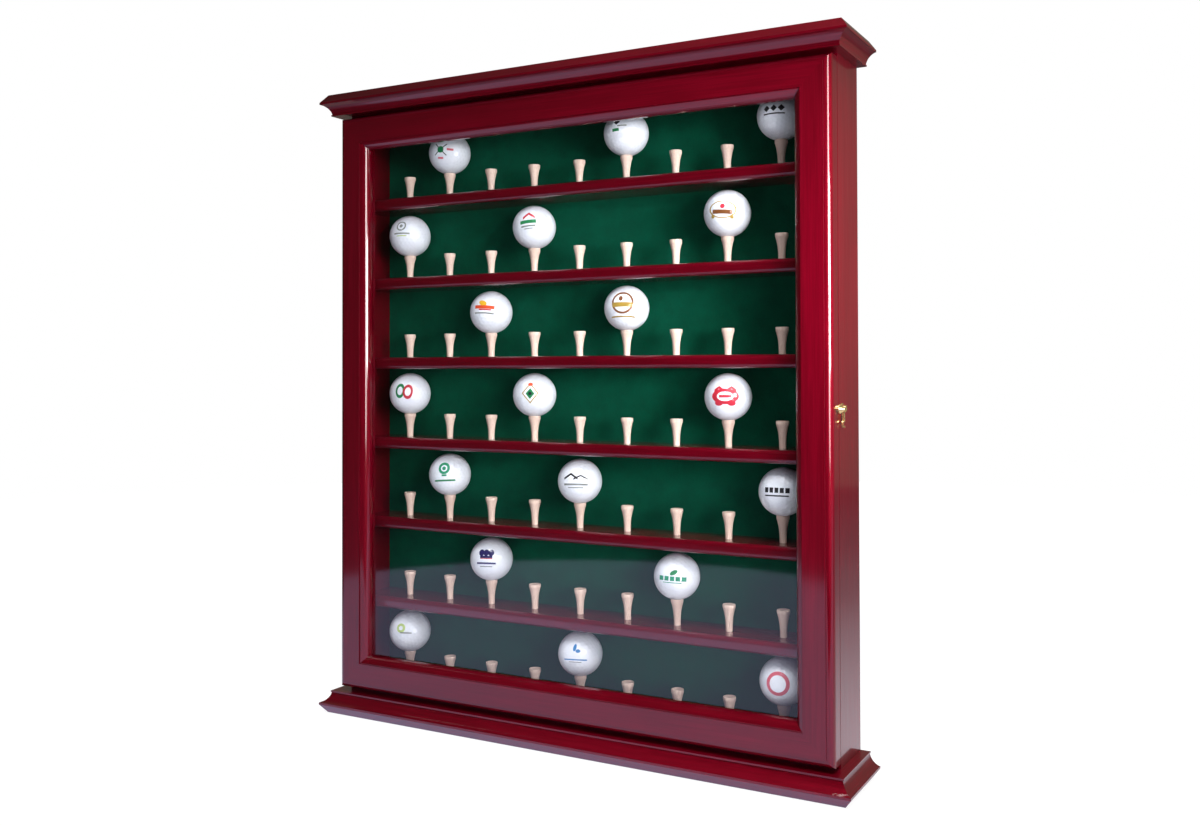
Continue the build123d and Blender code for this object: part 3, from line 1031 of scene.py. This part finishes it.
# ---------------------------------------------------------------- door
@dataclass
class Door:
    """The glazed door: four mitred members, a pane, its strips and the brads that hold them."""

    rails: tuple[str, ...] = ("door_rail_top", "door_rail_bottom")
    uprights: tuple[str, ...] = ("door_stile_left", "door_stile_right", "glazing_strips")
    strip_width: float = 6.5
    brad_pitch: float = 95.0
    brad_sides: int = 10
    brad_head: tuple[tuple[float, float], ...] = (
        (0.3, -0.5),
        (0.7, -0.25),
        (0.7, 0.0),
        (0.45, 0.06),
    )

    def build(self) -> None:
        """Dress the frame and the pane, and drive the brads."""
        for name in self.rails:
            dress_node(name, CherryLacquer(Grain.ALONG_X).material())
        for name in self.uprights:
            dress_node(name, CherryLacquer(Grain.ALONG_Z).material())
        dress_node("door_glass", FloatGlass().material())
        self.drive_brads()

    def drive_brads(self) -> None:
        """Put a row of brad heads along each glazing strip, set flush with its back."""
        low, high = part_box("glazing_strips")
        half = self.strip_width / 2 * MM
        pattern = turned("brad_pattern", self.brad_head, self.brad_sides)
        face_back = Matrix.Rotation(math.radians(-90), 4, "X")
        places = []
        for start, end, along, fixed in (
            (low[0], high[0], 0, (low[2] + half, high[2] - half)),
            (low[2], high[2], 2, (low[0] + half, high[0] - half)),
        ):
            count = max(2, round((end - start) / (self.brad_pitch * MM)))
            for number in range(count):
                run = start + (end - start) * (number + 0.5) / count
                for across in fixed:
                    places.append((run, across) if along == 0 else (across, run))
        brads = [
            copied(pattern, f"brad_{number}", Matrix.Translation((x, high[1], z)) @ face_back)
            for number, (x, z) in enumerate(places)
        ]
        bpy.data.objects.remove(pattern)
        finish_piece(
            joined(brads, "glazing_brads"), "door", "polished_brass", BrightSteel().material()
        )


# ---------------------------------------------------------------- fittings
@dataclass
class Fittings:
    """Two butt hinges with their screws, and the hook latch, in the CAD's own polished brass.

    Sizes are in mm. The leaf screws are given by their height above the leaf's foot, and
    each one's slot is left at another angle.
    """

    places: tuple[str, ...] = ("lower", "upper")
    screw_radius: float = 1.9
    screw_foot: float = 1.0
    screw_depth: float = 0.5
    screw_crown: float = 0.05
    screw_slot: float = 0.45
    screw_sides: int = 20
    leaf_screws: tuple[float, ...] = (6.5, 20.0, 33.5)

    def screw(self) -> bpy.types.Object:
        """Make one slotted countersunk screw head about the origin, facing +Z.

        Returns:
            The screw head, flush with the plane z = 0 but for its slight crown.
        """
        foot = (self.screw_foot, -self.screw_depth)
        flat = (self.screw_radius * 0.6, self.screw_crown)
        head = turned("screw_pattern", (foot, (self.screw_radius, 0.0), flat), self.screw_sides)
        slot_side = self.screw_slot * MM
        start_piece()
        bpy.ops.mesh.primitive_cube_add(size=1)
        cutter = bpy.context.object
        past_both_edges = self.screw_radius * 2.4 * MM
        cutter.dimensions = (past_both_edges, slot_side, slot_side)
        bpy.ops.object.transform_apply(location=True, rotation=True, scale=True)
        cut = head.modifiers.new("slot", "BOOLEAN")
        cut.operation = "DIFFERENCE"
        cut.object = cutter
        cut.solver = "EXACT"
        bpy.context.view_layer.objects.active = head
        bpy.ops.object.modifier_apply(modifier=cut.name)
        bpy.data.objects.remove(cutter)
        return head

    def build(self) -> None:
        """Dress the hinges and the latch, and drive the screws."""
        brass = bpy.data.materials["polished_brass"]
        parts = ("case_leaf", "door_leaf", "pin")
        hinges = [f"hinge_{place}_{part}" for place in self.places for part in parts]
        for name in (*hinges, "latch_pivot", "latch_hook", "latch_stud"):
            dress_node(name, brass)
        head = self.screw()
        for leaf, body, turn in (("case_leaf", "case", 90), ("door_leaf", "door", -90)):
            facing = Matrix.Rotation(math.radians(turn), 4, "X")
            screws = []
            for place in self.places:
                node = f"hinge_{place}_{leaf}"
                low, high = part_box(node)
                panel_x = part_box("side_panel_left")[0][0]
                x = (panel_x + high[0]) / 2
                y = self.face_of(node, body)
                for rise in self.leaf_screws:
                    spin = Matrix.Rotation(rise, 4, "Z")
                    move = Matrix.Translation((x, y, low[2] + rise * MM)) @ facing @ spin
                    screws.append(copied(head, f"screw_{place}_{rise}", move))
            finish_piece(joined(screws, f"{leaf}_screws"), body, "polished_brass", brass)
        bpy.data.objects.remove(head)

    def face_of(self, node: str, body: str) -> float:
        """Give the Y of a hinge leaf's showing face, read from its mesh away from the knuckles.

        Args:
            node: The leaf's node.
            body: The body that the leaf rides on.

        Returns:
            The Y of the face that meets the other leaf, in metres.
        """
        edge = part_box(node)[1][0]
        ys = [v.co.y for v in bpy.data.objects[node].data.vertices if abs(v.co.x - edge) < 1e-5]
        return min(ys) if body == "case" else max(ys)


# ---------------------------------------------------------------- studio
@dataclass(frozen=True)
class WhiteTableWithReflectionGlow(Finish):
    """Matt white table top, which pales into the background towards its rim.

    For glossy rays only, the table glows as a painted reflection that the lacquer and the pane
    mirror: a round white disc and a near band in front of the case, and a glow that darkens
    with distance behind it. Lengths are in metres.
    """

    title: ClassVar[str] = "white_table_and_reflection_glow"
    radius: float = 2.6
    rim_from: float = 0.5
    rim_to: float = 1.1
    rim_glow: float = 1.15
    glow_disc_centre: tuple[float, float, float] = (-0.27, -0.45, 0.0)
    glow_disc_radius: float = 0.55
    glow_disc_edge: float = 0.02
    band_front: float = -0.48
    band_back: float = -0.36
    band_left: float = -0.95
    band_right: float = -0.4
    behind_from: float = -0.03

    def shader(self, tree: bpy.types.NodeTree, place: bpy.types.NodeSocket) -> bpy.types.Node:
        """Show the plain table to the eye, a painted reflection glow to the lacquer and the pane, and light
        plainly.

        Args:
            tree: The material's node tree.
            place: The place on the piece.

        Returns:
            The shader node.
        """
        rays = add_node(tree, "ShaderNodeLightPath").outputs
        reach = add_node(
            tree, "ShaderNodeVectorMath", {0: place}, operation="LENGTH"
        ).outputs["Value"]
        lit = add_node(tree, "ShaderNodeBsdfDiffuse", {"Color": linear("#F4F4F4")})
        rim = add_node(
            tree,
            "ShaderNodeMapRange",
            {
                "Value": reach,
                "From Min": self.rim_from,
                "From Max": self.rim_to,
                "To Min": 0.8,
                "To Max": 1.0,
            },
        )
        white = add_node(
            tree, "ShaderNodeEmission", {"Color": linear("#FFFFFF"), "Strength": self.rim_glow}
        )
        shown = add_node(tree, "ShaderNodeMixShader", {0: rim, 1: lit, 2: white})
        seen = add_node(
            tree,
            "ShaderNodeMath",
            {0: rays["Is Camera Ray"], 1: rays["Is Transmission Ray"]},
            operation="MAXIMUM",
        )
        plain = add_node(tree, "ShaderNodeMixShader", {0: seen, 1: lit, 2: shown})
        # Painted reflection: glossy rays see a glowing pattern here, not the lit table.
        painted_reflection = self.painted_reflection(tree, place, reach)
        return add_node(
            tree, "ShaderNodeMixShader", {0: rays["Is Glossy Ray"], 1: plain, 2: painted_reflection}
        )

    def painted_reflection(
        self, tree: bpy.types.NodeTree, place: bpy.types.NodeSocket, reach: bpy.types.NodeSocket
    ) -> bpy.types.Node:
        """Lay out the painted reflection: a glow that only glossy rays see, for the lacquer and the pane to
        mirror.

        Args:
            tree: The material's node tree.
            place: The place on the table.
            reach: The distance from the table's middle.

        Returns:
            The shader node.
        """
        # Painted reflection: the sheet mask is a glowing disc, and with the near band it glows in front of
        # the case; behind it the glow fades with distance.
        from_glow_disc = add_node(
            tree, "ShaderNodeVectorMath", {0: place, 1: self.glow_disc_centre}, operation="DISTANCE"
        ).outputs["Value"]
        axes = add_node(tree, "ShaderNodeSeparateXYZ", {0: place}).outputs
        sheet, near, rightward = (
            add_node(
                tree,
                "ShaderNodeMapRange",
                {"Value": value, "From Min": start, "From Max": end, "To Min": lowest},
            )
            for value, start, end, lowest in (
                (
                    from_glow_disc,
                    self.glow_disc_radius + self.glow_disc_edge,
                    self.glow_disc_radius - self.glow_disc_edge,
                    0.03,
                ),
                (axes[1], self.band_front, self.band_back, 0.0),
                (axes[0], self.band_left, self.band_right, 0.1),
            )
        )
        band = add_node(tree, "ShaderNodeMath", {0: near, 1: rightward}, operation="MULTIPLY")
        before = add_node(tree, "ShaderNodeMath", {0: sheet, 1: band}, operation="MAXIMUM")
        distance = add_node(tree, "ShaderNodeMath", {0: reach, 1: self.radius}, operation="DIVIDE")
        fading = add_node(
            tree,
            "ShaderNodeValToRGB",
            {"Fac": distance},
            stops={0.12: "#FFFFFF", 0.24: "#C8C8C8", 0.36: "#8C8C8C", 0.55: "#646464", 0.9: "#404040"},
        )
        behind = add_node(
            tree, "ShaderNodeMath", {0: axes[1], 1: self.behind_from}, operation="GREATER_THAN"
        )
        level = add_node(
            tree, "ShaderNodeMix", {0: behind, 2: before, 3: fading}, data_type="FLOAT"
        )
        tint = add_node(
            tree,
            "ShaderNodeMix",
            {0: behind, 6: linear("#D0D2FF"), 7: linear("#F4F0FA")},
            data_type="RGBA",
        ).outputs[2]
        return add_node(tree, "ShaderNodeEmission", {"Color": tint, "Strength": level})


@dataclass(frozen=True)
class ReflectionGlowCurtain(Finish):
    """Painted reflection: a dim warm glow on the curtain round the set, a little lighter far to the
    left and behind the case.

    Each way has where it starts and ends, in metres, and its glow at both.
    """

    title: ClassVar[str] = "reflection_glow_curtain"
    leftward: tuple[float, float] = (-1.3, -2.3)
    left_glow: tuple[float, float] = (0.008, 0.02)
    backward: tuple[float, float] = (-0.5, 1.5)
    back_glow: tuple[float, float] = (0.0, 0.15)

    def shader(self, tree: bpy.types.NodeTree, place: bpy.types.NodeSocket) -> bpy.types.Node:
        """Glow by the lighter of the two ways.

        Args:
            tree: The material's node tree.
            place: The place on the piece.

        Returns:
            The shader node.
        """
        axes = add_node(tree, "ShaderNodeSeparateXYZ", {0: place}).outputs
        left, back = (
            add_node(
                tree,
                "ShaderNodeMapRange",
                {
                    "Value": axis,
                    "From Min": way[0],
                    "From Max": way[1],
                    "To Min": glow[0],
                    "To Max": glow[1],
                },
            )
            for axis, way, glow in (
                (axes[0], self.leftward, self.left_glow),
                (axes[1], self.backward, self.back_glow),
            )
        )
        # Painted reflection: the curtain glows rather than being lit, and only glossy rays see it.
        level = add_node(tree, "ShaderNodeMath", {0: left, 1: back}, operation="MAXIMUM")
        return add_node(tree, "ShaderNodeEmission", {"Color": linear("#FFF2DE"), "Strength": level})


@dataclass(frozen=True)
class SoftBox:
    """One soft lamp with a grid over it, which keeps its light to a beam.

    Places are in metres, the power is in watts, and the beam is the grid's angle in degrees.
    """

    name: str
    place: tuple[float, float, float]
    aim: tuple[float, float, float]
    size: tuple[float, float]
    power: float
    beam: float

    def hang(self) -> bpy.types.Object:
        """Add the lamp to the scene, turned to its aim and out of the camera's sight."""
        data = bpy.data.lights.new(self.name, "AREA")
        data.shape = "RECTANGLE"
        data.size, data.size_y = self.size
        data.energy = self.power
        data.color = linear("#FFFFFF")[:3]
        data.spread = math.radians(self.beam)
        lamp = bpy.data.objects.new(self.name, data)
        lamp.location = self.place
        heading = Vector(self.aim) - Vector(self.place)
        lamp.rotation_euler = heading.to_track_quat("-Z", "Y").to_euler()
        lamp.visible_camera = False
        bpy.context.scene.collection.objects.link(lamp)
        return lamp


@dataclass
class Studio:
    """A pale table in a soft plain studio, and the camera.

    Places are in metres, the lens and its sensor in mm, and the camera's turn in degrees.
    """

    plain_level: float = 0.47
    table: WhiteTableWithReflectionGlow = WhiteTableWithReflectionGlow()
    table_sides: int = 128
    table_drop: float = 0.0002
    curtain_radius: float = 3.0
    curtain_height: float = 6.0
    curtain_middle: float = 1.0
    curtain_sides: int = 64
    lamps: tuple[SoftBox, ...] = (
        SoftBox(
            "key",
            place=(1.15, -0.80, 0.55),
            aim=(0.10, 0.0, 0.40),
            size=(0.5, 0.75),
            power=1.08,
            beam=38.0,
        ),
        SoftBox(
            "side",
            place=(0.80, -0.30, 0.48),
            aim=(0.26, 0.0, 0.44),
            size=(0.25, 0.25),
            power=0.98,
            beam=45.0,
        ),
        SoftBox(
            "overhead",
            place=(0.55, -0.45, 1.25),
            aim=(0.15, 0.0, 0.05),
            size=(0.8, 0.5),
            power=2.5,
            beam=50.0,
        ),
    )
    camera_place: tuple[float, float, float] = (0.55794, -0.94598, 0.35549)
    camera_turn: tuple[float, float, float] = (90.82, 0.15, 28.62)
    lens: float = 34.53
    sensor: float = 36.0
    shift: tuple[float, float] = (-0.0103, -0.0513)
    clip: tuple[float, float] = (0.01, 50.0)

    def build(self) -> None:
        """Make the world, the table, the curtain, the lamps and the camera."""
        self.make_world()
        self.make_table()
        self.make_curtain()
        self.hang_lamps()
        self.make_camera()

    def hang_lamps(self) -> None:
        """Hang the lamps, and keep their mirror images off the pane, as a filter would."""
        spared = bpy.data.collections.new("pane_without_lamps")
        spared.objects.link(bpy.data.objects["door_glass"])
        spared.collection_objects[0].light_linking.link_state = "EXCLUDE"
        for lamp in self.lamps:
            lamp.hang().light_linking.receiver_collection = spared

    def make_world(self) -> None:
        """Light evenly from all round, with a white background where it is seen."""
        world = bpy.data.worlds.new("studio")
        world.use_nodes = True
        tree = world.node_tree
        tree.nodes.clear()
        rays = add_node(tree, "ShaderNodeLightPath").outputs
        seen = rays["Is Camera Ray"]
        for ray in ("Is Glossy Ray", "Is Transmission Ray"):
            seen = add_node(tree, "ShaderNodeMath", {0: seen, 1: rays[ray]}, operation="MAXIMUM")
        light = add_node(
            tree, "ShaderNodeBackground", {"Color": linear("#F4F7FF"), "Strength": self.plain_level}
        )
        white = add_node(tree, "ShaderNodeBackground", {"Color": linear("#FFFFFF"), "Strength": 1.0})
        shader = add_node(tree, "ShaderNodeMixShader", {0: seen, 1: light, 2: white})
        add_node(tree, "ShaderNodeOutputWorld", {"Surface": shader})
        bpy.context.scene.world = world

    def make_table(self) -> None:
        """Make the round white table, a hair below the case so that they don't share a face."""
        start_piece()
        bpy.ops.mesh.primitive_circle_add(
            vertices=self.table_sides,
            radius=self.table.radius,
            fill_type="NGON",
            location=(0, 0, -self.table_drop),
        )
        bpy.ops.object.transform_apply(location=True, rotation=True, scale=True)
        table = bpy.context.object
        table.name = "table_top"
        table.data.materials.append(self.table.material())

    def make_curtain(self) -> None:
        """Hang a curtain round the set that glows dimly: a painted reflection that only the lacquer and the
        pane mirror.
        """
        start_piece()
        bpy.ops.mesh.primitive_cylinder_add(
            vertices=self.curtain_sides,
            radius=self.curtain_radius,
            depth=self.curtain_height,
            end_fill_type="TRIFAN",
            location=(0, 0, self.curtain_middle),
        )
        bpy.ops.object.transform_apply(location=True, rotation=True, scale=True)
        curtain = bpy.context.object
        curtain.name = "curtain"
        curtain.data.materials.append(ReflectionGlowCurtain().material())
        curtain.visible_camera = False
        curtain.visible_diffuse = False
        curtain.visible_transmission = False
        curtain.visible_shadow = False

    def make_camera(self) -> None:
        """Stand the camera to the right of the case, level with its middle."""
        data = bpy.data.cameras.new("camera")
        data.lens = self.lens
        data.sensor_width = self.sensor
        data.shift_x, data.shift_y = self.shift
        data.clip_start, data.clip_end = self.clip
        camera = bpy.data.objects.new("camera", data)
        camera.location = self.camera_place
        camera.rotation_euler = [math.radians(angle) for angle in self.camera_turn]
        bpy.context.scene.collection.objects.link(camera)
        bpy.context.scene.camera = camera


def main() -> None:
    """Build every sub-assembly in order, then the studio."""
    logging.basicConfig(level=logging.INFO, format="%(message)s")
    bpy.context.scene.view_settings.view_transform = "Standard"
    grid = Grid()
    for part in (
        Cabinet(),
        Tees(grid),
        GolfBalls(grid, ball_prints()),
        Door(),
        Fittings(),
        Studio(),
    ):
        log.info("building %s", type(part).__name__)
        part.build()


if __name__ == "__main__":
    main()
